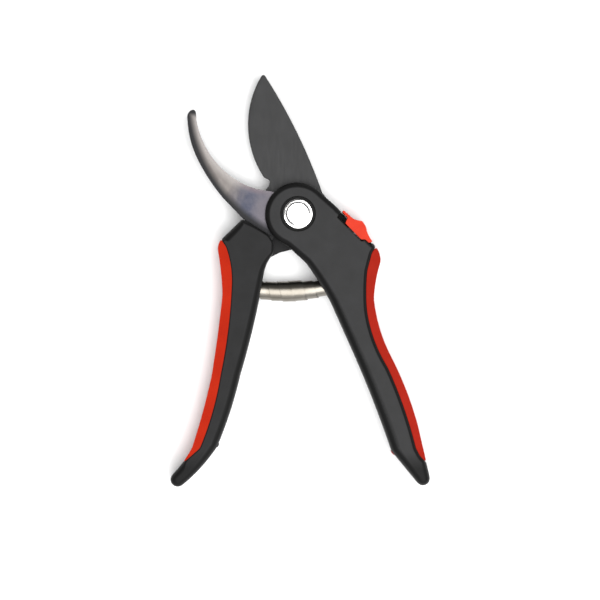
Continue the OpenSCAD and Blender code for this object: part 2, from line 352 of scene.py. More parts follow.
# the right handle's boss is a little smaller than the plate, and off the pivot
RIGHT_BOSS_R, RIGHT_BOSS_CENTRE = BOSS_R - 0.3, (-0.45, -0.35)
RIGHT_OUTLINE = outline(round_pivot(RIGHT_BOSS_R, 44, 250, centre=RIGHT_BOSS_CENTRE) + [
    (3.9, -23.6, -0.4), (16, -43, 0), (28.1, -70.2, -0.5), (45.3, -114.8, 0), (57.6, -129.8, 2.6),
    (63.7, -127.3, 0), (57.6, -101.2, 0.8), (45.6, -70.2, -1.5), (36.6, -41, -0.6), (39.9, -23, 1.1),
    (35.9, -14, 0), (18.03, 3.89, 0)])
RIGHT_STRIP = outline([
    (39, -13.8, 0), (35.6, -19, 0), (33.4, -27.5, 0.4), (33.2, -46, 1.6), (43.2, -74, -1),
    (56.9, -113.2, 0), (59, -117, 0.3), (64, -121, 0), (80, -121, 0), (80, -13.8, 0)])
HOOK_TIP = (-49.4, 48.9, 0.7)
HOOK_OUTER_SIDE = [
    (-51.3, 50.4, 0.9), (-53.5, 46, 1.2), (-48, 25.4, 0.6), (-36.4, 7.9, 0), (-26.7, -2.2, 0),
    (-14.1, -9.95, 0)]
HOOK_OUTLINE = outline(
    HOOK_OUTER_SIDE
    + round_pivot(HUB_R, 222, 285)
    + [(14, -22, 0), (21, -32, 0), (24, -46, 0), (31.5, -45, 0), (31.5, -32, 0), (27.5, -18, 0)]
    + round_pivot(HUB_R, 360, 496)
    + [(-13.6, 11.06, -0.5), (-24.7, 13.7, -1.1), (-40.1, 25.6, -1.4), (-49.2, 45.5, 0), HOOK_TIP])
LEFT_OUTLINE = outline([
    (-26.86, -2.46, 0), (-36.4, -11.6, 0.8), (-38.6, -17.8, -0.4), (-36.4, -39, -0.3), (-41.6, -77.9, -0.5),
    (-51.1, -112.9, -0.6), (-61.1, -126.4, 3.2), (-55.5, -130.7, 0.9), (-39.2, -112.7, 0.8),
    (-28, -77.9, 0.4), (-19.2, -43, 0), (-16.4, -27.5, -0.6), (-11.9, -19, 0), (-12, -13.6, 0),
    (-14.26, -10.21, 0)])
LEFT_STRIP = outline([
    (-39, -9.5, 0), (-80, -9.5, 0), (-80, -122, 0), (-60, -121.4, 0), (-54.3, -119.2, 0),
    (-47.3, -113.1, 1.1), (-37.3, -77.9, 0.9), (-31.9, -35, 1), (-34.7, -15.9, 0)])
LEFT_PLATE = outline(
    [(-28, -5, 0), (-30, -14, 0), (-22, -24, 0), (-14.5, -21.3, 0), (-8.8, -18.5, 0)]
    + round_pivot(BOSS_R, 282, 490))
EDGE_TIP, EDGE_HEEL = (-18.02, 66.6, 6.855), (-16.7, 18.1, 0.15)  # the ends of the cutting edge
CUTTING_EDGE = circle(EDGE_TIP, EDGE_HEEL)
BLADE_OUTLINE = outline(
    [EDGE_TIP, EDGE_HEEL, (-14.6, 16.98, -0.12), (-13.65, 15.8, -0.12), (-14, 14.1, 0), (-15.81, 11.35, 0)]
    + round_pivot(HUB_R, 165, 184)
    + [(-25.5, -9.5, 0), (-31.2, -22, 0), (-31.2, -48, 0), (-25, -48, 0), (-23, -31, 0), (-17, -20.5, 0)]
    + round_pivot(HUB_R, 222, 272) + round_pivot(CAM_R, 275, 326.5) + round_pivot(HUB_R, 328, 390)
    + [(11.64, 10.8, 1.76), (-15.45, 66.3, 0.12), (-16.5, 67.5, 0.08), (-17.25, 67.45, 0.08)])
# the ground bevels lie inside this region, which ends at the heel of the cutting edge
BEVEL_END_Y = 13
BEVEL_REGION = [(-30, 17.9), (-16.7, 17.9), (-8, BEVEL_END_Y), (30, 40), (30, 80), (-30, 80)]

# the catch's own frame has X along the handle's upper edge, away from the pivot, and Y out of that edge
CATCH_TURN = -45
CATCH_OUTLINE = outline([
    (14.3, 15.75, 0), (18.4, 15.7, 0), (19.35, 12.95, 0), (30.5, 12.85, 0), (31.6, 14.25, 0),
    (34.2, 14.3, 0), (35, 16, -0.3), (29.2, 17.7, 0.3), (26, 19.1, 0.4), (23.6, 19, -0.3), (20, 17.1, 0),
    (14.3, 16.8, 0)])
CATCH_POCKET = outline([
    (14.8, 12.3, 0), (30.9, 12.3, 0), (32, 13.85, 0), (35.4, 13.85, 0), (36.4, 24, 0), (13.8, 24, 0),
    (13.8, 15.5, 0)])
LATCH_CHANNEL = rectangle(11.6, 4.35, 34.15, 9.65)  # in the handle
LATCH_ROOM = rectangle(21, 9, 30.9, 15.1)  # in the catch
BLADE_NOTCH = rectangle(14.3, 4.2, 30.3, 9.8)  # in the blade, when it is shut

RIGHT_SCREWS = [(19.5, -21.5), (26.5, -40)]
LEFT_SCREWS = [(-26.5, -17), (-28.4, -40)]
# where each end of the spring sits, and the direction in degrees that its seat faces
RIGHT_SEAT = ((17.4, -36.1), 187)
LEFT_SEAT = ((-21.4, -37), -2)

# ---- meshes ----


def tidy(mesh, weld=WELD):
    """Welds points that fell together and turns every face outwards."""
    work = bmesh.new()
    work.from_mesh(mesh)
    bmesh.ops.remove_doubles(work, verts=work.verts, dist=weld * MM)
    bmesh.ops.dissolve_degenerate(work, edges=work.edges, dist=weld * MM / 2)
    bmesh.ops.recalc_face_normals(work, faces=work.faces)
    work.to_mesh(mesh)
    work.free()


def make(name, points, faces):
    """An object from points in millimetres."""
    mesh = bpy.data.meshes.new(name)
    mesh.from_pydata((np.asarray(points, float) * MM).tolist(), [], faces)
    tidy(mesh)
    piece = bpy.data.objects.new(name, mesh)
    bpy.context.scene.collection.objects.link(piece)
    return piece


def at_level(points, z):
    """Flat points stood at height z, a number or one for each point."""
    return np.column_stack([points, np.broadcast_to(z, len(points))])


def bands(count, rings, closed=False):
    """Four-sided faces between rings of count points each."""
    i = np.arange(count)
    j = (i + 1) % count
    return [face for k in range(rings if closed else rings - 1)
            for face in np.stack([k * count + i, k * count + j, (k + 1) % rings * count + j,
                                  (k + 1) % rings * count + i], 1).tolist()]


def loft(name, rings):
    """A closed solid through rings of equally many points, from the back up."""
    count = len(rings[0])
    caps = [list(range(count))[::-1], list(range((len(rings) - 1) * count, len(rings) * count))]
    return make(name, np.vstack(rings), bands(count, len(rings)) + caps)


FACE_RIM = 0.25  # a flat rim inside a rounded edge, which keeps the face's shading flat
THIN_EDGE = 0.8  # the most that a rounded edge may take of a thin slab's half thickness


def edge_rings(points, z, width, way, crease, steps, thin=False, depth=3.2):
    """Rings from a face at z to the wall, round an edge that starts crease degrees off the face.

    The edge is as deep as wide, but never deeper than depth."""
    width = np.broadcast_to(np.asarray(width, float), len(points))
    rim = FACE_RIM
    if thin:
        width = np.minimum(width, THIN_EDGE * half_thickness(points))
        rim = np.minimum(rim, width / 8)
    first = math.radians(crease)
    angles = np.linspace(first, math.pi / 2, steps + 1)
    depths = [width * (1 - math.sin(a)) / (1 - math.sin(first)) for a in angles]
    deep = np.minimum(width, depth)
    drops = [deep * (math.cos(first) - math.cos(a)) / math.cos(first) for a in angles]
    flat = insets(points, [*depths[::-1], width + rim])[::-1]
    return [at_level(ring, z + way * drop) for ring, drop in zip(flat, [0, *drops])]


def slab(name, points, low, high, low_edge, high_edge, crease=0, steps=7, thin=False):
    """An upright slab with rounded edges, whose widths are numbers or one for each point.

    A thin one's edges narrow where the slab does."""
    return loft(name, edge_rings(points, low, low_edge, 1, crease, steps, thin)
                + edge_rings(points, high, high_edge, -1, crease, steps, thin)[::-1])


def rounded(profile, closed=False, steps=4):
    """A profile from (x, y, rounding) corners; an open one's ends stay as they are."""
    count = len(profile)
    corners = [np.array(corner[:2], float) for corner in profile]
    made = []
    for k, p in enumerate(corners):
        rounding = profile[k][2]
        if rounding == 0 or (not closed and k in (0, count - 1)):
            made.append(p)
            continue
        before, after = corners[k - 1] - p, corners[(k + 1) % count] - p
        reach = [min(rounding, 0.45 * np.linalg.norm(v)) / np.linalg.norm(v) for v in (before, after)]
        for t in np.linspace(0, 1, steps + 1):
            made.append(p + (1 - t) ** 2 * before * reach[0] + t**2 * after * reach[1])
    return made


def lathe(name, profile, closed=False, steps=128, place=None):
    """A solid turned about Z from (radius, z) points, from its back to its front; place moves it."""
    angles = 2 * math.pi * np.arange(steps) / steps
    points = np.vstack([np.column_stack([r * np.cos(angles), r * np.sin(angles), np.full(steps, z)])
                        for r, z in profile])
    if place is not None:
        points = points @ np.array(place.to_3x3()).T + np.array(place.translation)
    return make(name, points, bands(steps, len(profile), closed))


def rod(radius, low, high, edge=0.0, flare=0.0):
    """The profile of a plain rod, with a rounded edge, or with a mouth that opens at its top by flare."""
    if flare:
        steps = np.radians(np.linspace(0, 90, 6))
        return ([(0, low), (radius, low)]
                + [(radius + flare * (1 - math.cos(a)), high - flare + flare * math.sin(a)) for a in steps]
                + [(radius + flare, high + OVER), (0, high + OVER)])
    return rounded([(0, low, edge), (radius, low, edge), (radius, high, edge), (0, high, edge)])


def seat_place(seat):
    """Where something stands whose own Z points out of a spring seat."""
    (x, y), degrees = seat
    out = Vector((math.cos(math.radians(degrees)), math.sin(math.radians(degrees)), 0))
    return Matrix.Translation((x, y, MID)) @ out.to_track_quat("Z", "Y").to_matrix().to_4x4()


def combine(piece, others, operation):
    """The piece with the others cut away, joined or intersected, one after another."""
    for other in others:
        step = piece.modifiers.new(other.name, "BOOLEAN")
        step.operation, step.solver, step.object = operation, "MANIFOLD", other
        bpy.context.view_layer.update()
        mesh = bpy.data.meshes.new_from_object(piece.evaluated_get(bpy.context.evaluated_depsgraph_get()))
        piece.modifiers.clear()
        piece.data = mesh
        bpy.data.objects.remove(other)
    tidy(piece.data, WELD / 5)
    return piece


def cut(piece, *cutters):
    """Cuts the cutters out of the piece."""
    return combine(piece, cutters, "DIFFERENCE")


def join(piece, *others):
    """Joins the others to the piece."""
    return combine(piece, others, "UNION")


SHARP = 20  # degrees between faces that meet in a crisp edge


def finish(piece, name, material, body, node, slot):
    """Names a piece, shades it, and says what it is for the frame."""
    piece.name = piece.data.name = name
    piece.data.materials.clear()
    piece.data.materials.append(material)
    piece.data.polygons.foreach_set("use_smooth", [True] * len(piece.data.polygons))
    piece.data.set_sharp_from_angle(angle=math.radians(SHARP))
    normals = piece.modifiers.new("flat faces stay flat", "WEIGHTED_NORMAL")
    normals.keep_sharp = True
    if body:
        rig.ride(piece, body)
    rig.replaces(piece, node)
    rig.slot(piece, slot)
    return piece


# ---- materials ----


def grey(level, tint=(1, 1, 1)):
    """A grey of that level, tinted."""
    return tuple(level * t for t in tint)


class Finish:
    """A procedural material, built up by adding nodes."""

    def __init__(self, name, **constants):
        self.material = bpy.data.materials.new(name)
        self.material.use_nodes = True
        self.tree = self.material.node_tree
        self.shader = self.tree.nodes["Principled BSDF"]
        where = self.add("ShaderNodeTexCoord")
        self.place, self.normal = where.outputs["Object"], where.outputs["Normal"]
        for socket, value in constants.items():
            self.shader.inputs[socket.replace("_", " ")].default_value = value

    def add(self, kind, links=None, **settings):
        """A node, with its settings and with the sockets or constants that its inputs get."""
        node = self.tree.nodes.new(kind)
        for key, value in settings.items():
            setattr(node, key, value)
        for key, value in (links or {}).items():
            if isinstance(value, bpy.types.NodeSocket):
                self.tree.links.new(value, node.inputs[key])
            else:
                node.inputs[key].default_value = value
        return node

    def noise(self, size, detail, stretch=(1, 1, 1), turn=0.0):
        """Noise with spots of that size, longer along an axis where stretch is above 1."""
        mapping = self.add("ShaderNodeMapping", {
            "Vector": self.place, "Rotation": (0, 0, -math.radians(turn)),
            "Scale": tuple(1 / s for s in stretch)}, vector_type="POINT")
        made = self.add("ShaderNodeTexNoise", {
            "Vector": mapping.outputs[0], "Scale": 1 / (size * MM), "Detail": detail, "Roughness": 0.55})
        return made.outputs["Fac"]

    def maths(self, operation, a, b=0.0, c=0.0):
        """One operation on up to three values."""
        return self.add("ShaderNodeMath", {0: a, 1: b, 2: c}, operation=operation).outputs[0]

    def spread(self, value, low, high, to_low=0.0, to_high=1.0):
        """A value from low to high, spread over to_low to to_high and held there."""
        made = self.add("ShaderNodeMapRange", {
            "Value": value, "From Min": low, "From Max": high, "To Min": to_low, "To Max": to_high})
        return made.outputs[0]

    def mix(self, share, a, b):
        """Colour a where share is 0 and b where it is 1."""
        node = self.add("ShaderNodeMix", data_type="RGBA")
        sockets = [node.inputs[0], node.inputs[6], node.inputs[7]]
        for socket, value in zip(sockets, (share, a, b)):
            if isinstance(value, bpy.types.NodeSocket):
                self.tree.links.new(value, socket)
            else:
                socket.default_value = value if socket is sockets[0] else (*value, 1)
        return node.outputs[2]

    def set(self, **links):
        """Links values to the shader's sockets."""
        for socket, value in links.items():
            self.tree.links.new(value, self.shader.inputs[socket.replace("_", " ")])

    def bump(self, height, depth):
        """Small relief, depth millimetres from a height of 0 to one of 1."""
        node = self.add("ShaderNodeBump", {"Height": height, "Distance": depth * MM, "Strength": 1.0})
        self.set(Normal=node.outputs[0])

    def part(self, vector, axis):
        """A vector's part along an axis."""
        return self.add("ShaderNodeSeparateXYZ", {0: vector}).outputs[axis]

    def average(self, a, b, share):
        """The average of two values, of which b has that share."""
        return self.maths("ADD", self.maths("MULTIPLY", a, 1 - share), self.maths("MULTIPLY", b, share))

    def from_axis(self, x=0.0, y=0.0):
        """How far a point is from an upright axis, the pivot's unless told, in millimetres."""
        flat = self.add("ShaderNodeVectorMath", {0: self.place, 1: (1 / MM, 1 / MM, 0), 2: (-x, -y, 0)},
                        operation="MULTIPLY_ADD")
        return self.add("ShaderNodeVectorMath", {0: flat.outputs[0]}, operation="LENGTH").outputs["Value"]


# of noise, nearly all is within NEARLY_ALL and the most within MOST
NEARLY_ALL = (0.3, 0.7)
MOST = (0.35, 0.65)


def grained(name, dark, light, grain, blotch, rough, relief, **constants):
    """Moulded or coated stuff: fine grain and broad blotches in colour, and fine grain in roughness."""
    made = Finish(name, **constants)
    fine, broad = made.noise(grain, 4), made.noise(blotch, 2)
    made.set(Base_Color=made.mix(made.spread(made.average(fine, broad, 0.4), *MOST), dark, light),
             Roughness=made.spread(fine, *NEARLY_ALL, *rough))
    made.bump(fine, relief)
    return made.material


NYLON_END_Y = (-0.123, -0.115)  # metres: between these the handles' ends turn dark
NYLON_PAINTED_LIGHT_Z = (0.85, 0.5)  # the normal's Z between which a rounded edge turns from painted shade to painted light


def nylon(name, level, gloss, edge):
    """Glass-filled nylon: a spark-eroded grain on the flat faces, and painted shade on the rounded edges,
    which are edge times as light where they turn.

    Painted light makes the rounded edges lighter where they turn most, away from the boss, and the handles' ends are
    darker."""
    made = Finish(name)
    fine, broad = made.noise(0.45, 4), made.noise(9, 3)
    tone = made.spread(made.average(fine, broad, 0.45), *MOST)
    face = made.mix(tone, grey(level * 0.72), grey(level * 1.3, (1, 1, 1.06)))
    # painted shade: where the normal leaves the face, the colour turns to the darker edge tone, edge times the face's
    # level, and the specular level drops with it
    upright = made.maths("ABSOLUTE", made.part(made.normal, "Z"))
    ragged = made.spread(fine, *NEARLY_ALL, -0.01, 0.01)
    flat = made.spread(made.maths("ADD", upright, ragged), 0.93, 0.97)
    flat = made.maths("MULTIPLY", flat, made.spread(made.part(made.place, "Y"), *NYLON_END_Y))
    off_boss = made.spread(made.from_axis(), 17, 26)
    # painted light: away from the boss, the more a rounded edge turns sideways, the lighter its colour
    painted_edge_light = made.maths("MULTIPLY", made.spread(upright, *NYLON_PAINTED_LIGHT_Z), off_boss)
    # the edges' colour: painted shade that turns to painted light where the edges turn most
    edges = made.mix(painted_edge_light, grey(level * edge), grey(level * 3))
    glossy = made.maths("MAXIMUM", flat, painted_edge_light)
    made.set(Base_Color=made.mix(flat, edges, face),
             Roughness=made.spread(fine, *NEARLY_ALL, 0.5, 0.64),
             Specular_IOR_Level=made.spread(glossy, 0, 1, gloss * edge, gloss))
    made.bump(fine, 0.03)
    return made.material


def soft_rubber(name, dark, light):
    """Soft-touch rubber with a faint grain."""
    return grained(name, dark, light, 0.5, 12, (0.6, 0.74), 0.035, Specular_IOR_Level=0.06)


def catch_plastic():
    """Satin red plastic."""
    dark, light = (0.48, 0.022, 0.006), (0.58, 0.034, 0.011)
    return grained("catch_red", dark, light, 0.4, 5, (0.4, 0.5), 0.01, Specular_IOR_Level=0.09)


def recess_shade_black():
    """Near-black for the washer round the bolt's head: painted shade for the shadow in the head's recess."""
    dark, light = grey(0.003), grey(0.007)
    return grained("black_washer", dark, light, 0.35, 3, (0.45, 0.6), 0.008, Specular_IOR_Level=0.12)


def plated(name, dark, light, rough):
    """Plated or blackened small metal parts: soft blotches and a little orange peel."""
    return grained(name, dark, light, 0.35, 3, rough, 0.008, Metallic=1.0)


def blade_coating():
    """Satin non-stick coat: even dark grey, with fine rubbed marks along the blade."""
    made = Finish("blade_coat", Specular_IOR_Level=0.23)
    marks = made.noise(0.7, 3, stretch=(1, 14, 1), turn=14)
    fine, broad = made.noise(0.3, 3), made.noise(11, 3)
    tone = made.spread(made.average(marks, broad, 0.6), *MOST)
    made.set(Base_Color=made.mix(tone, grey(0.011), grey(0.018, (1, 1, 1.05))),
             Roughness=made.spread(marks, *NEARLY_ALL, 0.38, 0.5))
    made.bump(made.maths("ADD", fine, marks), 0.006)
    return made.material


def ground_steel():
    """The bare ground bevel on the cutting blade's back: grinding lines across the edge."""
    made = Finish("ground_bevel", Metallic=1.0)
    lines = made.noise(0.12, 2, stretch=(26, 1, 1), turn=4)
    tone = made.spread(made.noise(6, 3), *MOST)
    made.set(Base_Color=made.mix(tone, grey(0.46, (1, 0.98, 0.95)), grey(0.62)),
             Roughness=made.spread(lines, *NEARLY_ALL, 0.22, 0.38))
    made.bump(lines, 0.008)
    return made.material


# the circles that the hook's two sides follow: x, y and radius
HOOK_INNER_X, HOOK_INNER_Y, HOOK_INNER_R = -8.07, 51.89, 41.49
HOOK_OUTER_X, HOOK_OUTER_Y, HOOK_OUTER_R = 20.2, 56.95, 75.03
HOOK_TIP_Y = (0.0462, 0.0489)  # metres: between these the scale covers the hook's tip


def hook_steel():
    """Worn polish: beige grey with a painted highlight along the inner side, blued by heat near the pivot.

    A dark scale is left on the outer bevel and the tip."""
    beige_dark, beige_light = (0.06, 0.051, 0.047), (0.108, 0.099, 0.094)
    # the painted highlight's colour, for the inner side
    painted_highlight_beige = (0.165, 0.154, 0.148)
    blue_dark, blue_light = (0.031, 0.0335, 0.046), (0.046, 0.046, 0.058)
    rose, rose_at_boss = (0.084, 0.068, 0.073), (0.066, 0.061, 0.068)
    made = Finish("hook_steel", Metallic=1.0)
    cloud, fine = made.noise(7, 3, stretch=(1, 1.8, 1), turn=35), made.noise(0.6, 4)
    wander = made.spread(cloud, *NEARLY_ALL, -1, 1)
    from_inner = made.maths("SUBTRACT", made.from_axis(HOOK_INNER_X, HOOK_INNER_Y), HOOK_INNER_R)
    from_outer = made.maths("SUBTRACT", HOOK_OUTER_R, made.from_axis(HOOK_OUTER_X, HOOK_OUTER_Y))
    from_pivot = made.maths("MULTIPLY_ADD", wander, 2, made.from_axis())

    beige = made.mix(made.spread(cloud, *NEARLY_ALL), beige_dark, beige_light)
    # painted highlight: near the inner side the beige turns brighter
    inner_painted_highlight = made.spread(made.maths("MULTIPLY_ADD", wander, 0.5, from_inner), 0.6, 4.2, 0.85, 0)
    beige = made.mix(inner_painted_highlight, beige, painted_highlight_beige)
    blued = made.mix(made.spread(made.noise(4, 3), *MOST), blue_dark, blue_light)
    rosy = made.spread(made.maths("MULTIPLY_ADD", wander, 0.4, from_inner), 0.4, 3, 0.8, 0)
    blued = made.mix(rosy, blued, rose)
    blued = made.mix(made.spread(from_pivot, 18.5, 23, 0.85, 0), blued, rose_at_boss)
    # the heat tint near the pivot gives way to the beige, which carries the painted highlight
    worn_with_painted_highlight = made.mix(made.spread(from_pivot, 26, 37), blued, beige)

    ragged = made.spread(fine, *NEARLY_ALL, -0.2, 0.2)
    side = made.spread(made.maths("ADD", from_outer, ragged), 1.4, 4.4, 1, 0)
    scale = made.maths("MAXIMUM", made.spread(made.part(made.place, "Y"), *HOOK_TIP_Y), side)
    made.set(Base_Color=made.mix(scale, worn_with_painted_highlight, grey(0.018, (1, 1, 1.05))),
             Roughness=made.maths("MULTIPLY_ADD", scale, 0.1, made.spread(fine, *NEARLY_ALL, 0.3, 0.42)))
    made.bump(made.maths("MULTIPLY_ADD", cloud, 2.5, made.maths("MULTIPLY", fine, 0.5)), 0.012)
    return made.material


RING_PITCH = 0.35  # of the fine rings that a lathe leaves


def turned_steel(name, dark, light, rough, groove):
    """Metal turned on a lathe: fine rings round the pivot."""
    made = Finish(name, Metallic=1.0)
    rings = made.maths("SINE", made.maths("MULTIPLY", made.from_axis(), 2 * math.pi / RING_PITCH))
    spots = made.noise(1.6, 3)
    made.set(Base_Color=made.mix(made.spread(spots, *MOST), dark, light),
             Roughness=made.spread(spots, *NEARLY_ALL, *rough))
    made.bump(made.maths("MULTIPLY", rings, 0.5), groove)
    return made.material


def spring_strip():
    """Bright rolled strip: fine rolling lines across the spring and a warm tarnish."""
    made = Finish("spring_strip", Metallic=1.0)
    lines = made.noise(0.35, 2, stretch=(1, 12, 12), turn=2)
    tarnish = made.spread(made.noise(7, 2), 0.36, 0.64)
    made.set(Base_Color=made.mix(tarnish, (0.19, 0.174, 0.148), (0.23, 0.215, 0.19)),
             Roughness=made.spread(lines, *NEARLY_ALL, 0.28, 0.36))
    made.bump(lines, 0.003)
    return made.material


# one nylon for both handles: the right one's higher level is painted light and the left one's lower level is painted
# shade, and their edge factors differ to suit how the lamps fall
NYLON_RIGHT_PAINTED_LIGHTER = nylon("right_nylon", 0.0125, 0.23, 0.5)
NYLON_LEFT_PAINTED_DARKER = nylon("left_nylon", 0.0096, 0.16, 0.68)
RED_RIGHT = soft_rubber("right_red", (0.25, 0.009, 0.003), (0.31, 0.014, 0.006))
RED_LEFT = soft_rubber("left_red", (0.315, 0.011, 0.002), (0.39, 0.017, 0.003))
CATCH_RED = catch_plastic()
COAT = blade_coating()
GROUND = ground_steel()
HOOK_STEEL = hook_steel()
POLISHED = turned_steel("polished_head", grey(0.84), grey(0.93, (1, 0.99, 0.97)), (0.07, 0.13), 0.0015)
# painted shade: the head washer's near-black stands for the shadow in the recess
PAINTED_SHADE_BLACK = recess_shade_black()
ZINC = plated("zinc_plate", grey(0.5, (1, 1, 0.97)), grey(0.66, (1, 1, 0.98)), (0.24, 0.4))
DARK_SCREW = plated("black_zinc", grey(0.05), grey(0.1, (1, 1, 1.08)), (0.28, 0.44))
BRONZE = turned_steel("bush_bronze", (0.42, 0.25, 0.1), (0.55, 0.35, 0.16), (0.3, 0.45), 0.004)
STRIP = spring_strip()

# ---- handles ----

CREASE = 24  # degrees: how crisply the rounded edges leave the face
RIGHT_JOINT, LEFT_JOINT = 1.7, 0.45  # widths of the nylon's rounded edge along the soft strip
STRIP_JOINT = 0.35  # and of the strip's
JOINT_GAP = 0.04  # how far the strip stands off the nylon
STRIP_EDGE = 2.2  # width of the soft strips' outer rounded edges
BACK_EDGE = 2.2  # width of the back's rounded edges
BACK_JOINT = JOINT_GAP + 0.3  # and of those along the joint
ROUNDING = 3  # passes that soften the outline's corners
# (x, y, width) marks of the nylon's rounded front edges on their way round
RIGHT_EDGE = [
    (12, 10, 2.4), (0, 15.8, 2.5), (-15.8, 0, 2.4), (-8, -13.6, 2.5), (4, -24, 3), (16, -43, 3.8),
    (28.1, -70.2, 4.2), (44.8, -112, 4.5), (50.5, -120.8, 3.4), (58, -130.3, 2.6), (62.5, -130.5, 2.6)]
LEFT_EDGE = [
    (-26.9, -2.5, 1.8), (-29, -4.5, 3), (-36.4, -11.6, 3.4), (-61.5, -127.5, 2.6), (-56.5, -131, 2.6),
    (-39.2, -112, 3.3), (-28, -77.9, 3.4), (-19.2, -43, 3.2), (-16.4, -27.5, 2.6), (-12.5, -20, 1.3),
    (-12, -14, 0.9), (-20, -6.6, 0.9)]


def edge_width(joint, at_edge, at_joint):
    """The edge's width at each point, which eases from one value to the other."""
    return soften(at_edge + (at_joint - at_edge) * joint, 8)


def handle_slab(name, part, edge, at_joint, gap=0.0, thin=False):
    """A handle's nylon or soft strip, from its outline and its joint marks.

    The front edge's width is a number or marks round the outline."""
    points, joint = part
    points = inset(soften(points, ROUNDING), joint * gap)
    if isinstance(edge, list):
        edge = along(points, edge)
    low_edge, high_edge = edge_width(joint, BACK_EDGE, BACK_JOINT), edge_width(joint, edge, at_joint)
    return slab(name, points, BACK, FRONT, low_edge, high_edge, CREASE, thin=thin)


def tab(x, y, degrees, length):
    """What is left of a mould's gate: a small tab that stands out of an edge."""
    half, out, edge = length / 2, 0.6, 0.15
    corners = [(-half, -out, 0.2), (half, -out, 0), (half, out, 0), (-half, out, 0.1)]
    points = turned(outline(corners), degrees) + (x, y)
    return slab("tab", points, MID - 3.5, FRONT - 4.2, edge, edge, 0, 3)


def well(radius, top, chamfer, drop):
    """The profile of a round hole, open to the back, whose mouth has a chamfer that is drop deep."""
    mouth = radius + chamfer
    return [(0, BACK - OVER), (mouth, BACK - OVER), (mouth, BACK), (radius, BACK + drop), (radius, top)]


def screw_wells(places):
    """The stepped holes of the tang screws, open to the back."""
    profile = well(SCREW_HEAD_R + 0.3, SCREW_HEAD_TOP, 0.35, 0.35)
    profile += [(SCREW_R, SCREW_HEAD_TOP), (SCREW_R, SCREW_HIGH), (0, SCREW_HIGH)]
    for x, y in places:
        yield lathe("well", profile, steps=64, place=Matrix.Translation((x, y, 0)))


def spring_pocket(seat):
    """The hole for an end of the spring, which opens towards the other handle."""
    return lathe("pocket", rod(POCKET_R, 0, POCKET_LONG), steps=96, place=seat_place(seat))


def spring_peg(seat):
    """The peg in that hole, with a rounded end."""
    return lathe("peg", rod(PEG_R, -OVER, PEG_HIGH, 0.8), steps=48, place=seat_place(seat))


def prism(name, points, low, high, flare=0.0):
    """A plain upright cutter, whose top opens by flare at the level high."""
    rings = [at_level(points, low), at_level(points, high - flare)]
    if flare:
        rings += [at_level(inset(points, -flare * t), high - flare * (1 - t)) for t in (0.35, 1.0)]
        rings += [at_level(inset(points, -flare * 1.6), high + OVER)]
    return loft(name, rings)


def right_handle(part):
    """The right handle's nylon, whose boss covers the pivot."""
    wedge = outline([(0, 0, 0), (-PLATE_ROOM_R, -PLATE_ROOM_R, 0), (PLATE_ROOM_R, -PLATE_ROOM_R, 0)])
    far = np.linalg.norm(wedge, axis=1)
    wedge *= np.minimum(1, PLATE_ROOM_R / np.maximum(far, 1))[:, None]
    body = cut(
        handle_slab("right_body", part, RIGHT_EDGE, RIGHT_JOINT),
        lathe("hub_room", rod(HUB_ROOM_R, BACK - OVER, BOSS_LOW)),
        prism("plate_room", wedge, BACK - OVER, BLADE_LOW + 0.1),
        prism("hook_slot", inset(HOOK_OUTLINE, -PLAY), HOOK_LOW - PLAY, BOSS_LOW + 0.02),
        lathe("recess", rod(RECESS_R, WASHER_LOW, FRONT, flare=0.15)),
        lathe("bore", rod(BOLT_R + PLAY, BACK, FRONT)),
        prism("catch_pocket", turned(CATCH_POCKET, CATCH_TURN), CATCH_LOW - 0.2, FRONT, 0.4),
        prism("latch_channel", turned(LATCH_CHANNEL, CATCH_TURN), BLADE_LOW, BLADE_HIGH),
        spring_pocket(RIGHT_SEAT),
        *screw_wells(RIGHT_SCREWS))
    body = join(body, spring_peg(RIGHT_SEAT))
    return finish(body, "right_handle_nylon", NYLON_RIGHT_PAINTED_LIGHTER, "right_lever", "right_handle", "handle_nylon")


def left_handle(part):
    """The left handle's nylon, with its round plate under the blade and the gate's tab."""
    plate = slab("left_plate", soften(LEFT_PLATE, 1), BACK, BLADE_LOW, 1.6, 0.3)
    body = join(handle_slab("left_body", part, LEFT_EDGE, LEFT_JOINT), plate, tab(-39.2, -111.8, 66, 1.8))
    body = cut(
        body,
        prism("blade_slot", inset(BLADE_OUTLINE, -PLAY), BLADE_LOW, BLADE_HIGH + PLAY),
        lathe("nut_room", well(NUT_ROOM_R, NUT_ROOM_HIGH, 0.4, 0.5) + [(0, NUT_ROOM_HIGH)]),
        lathe("bush_bore", rod(BUSH_R + 0.03, BACK, FRONT)),
        spring_pocket(LEFT_SEAT),
        *screw_wells(LEFT_SCREWS))
    body = join(body, spring_peg(LEFT_SEAT))
    return finish(body, "left_handle_nylon", NYLON_LEFT_PAINTED_DARKER, "left_lever", "left_handle", "handle_nylon")


def soft_strip(name, part, material, body, node, *tabs):
    """A red strip along a handle's outer side."""
    strip = handle_slab(name, part, STRIP_EDGE, STRIP_JOINT, JOINT_GAP, thin=True)
    return finish(join(strip, *tabs), name, material, body, node, "soft_grip")


right_nylon, right_strip = split(RIGHT_OUTLINE, RIGHT_STRIP)
left_nylon, left_strip = split(LEFT_OUTLINE, LEFT_STRIP)
right_handle(right_nylon)
left_handle(left_nylon)
soft_strip("right_soft_strip", right_strip, RED_RIGHT, "right_lever", "right_grip",
           tab(46.2, -115.3, -50, 2.4))
soft_strip("left_soft_strip", left_strip, RED_LEFT, "left_lever", "left_grip")

# ---- blades ----

BEVEL_W = 7.0  # width of the ground bevel on the cutting blade's back
EDGE_Z = BLADE_HIGH - 0.15  # level of the cutting edge
EDGE_LAND = 0.08  # what is left of the thickness there
FINE_W = 1.7  # width of the fine bevel on the blade's front
HOOK_EDGE = 0.4  # width of the hook's fine rounded edges
HOOK_BEVEL_W = 2.2  # how much wider its outer side's bevel is


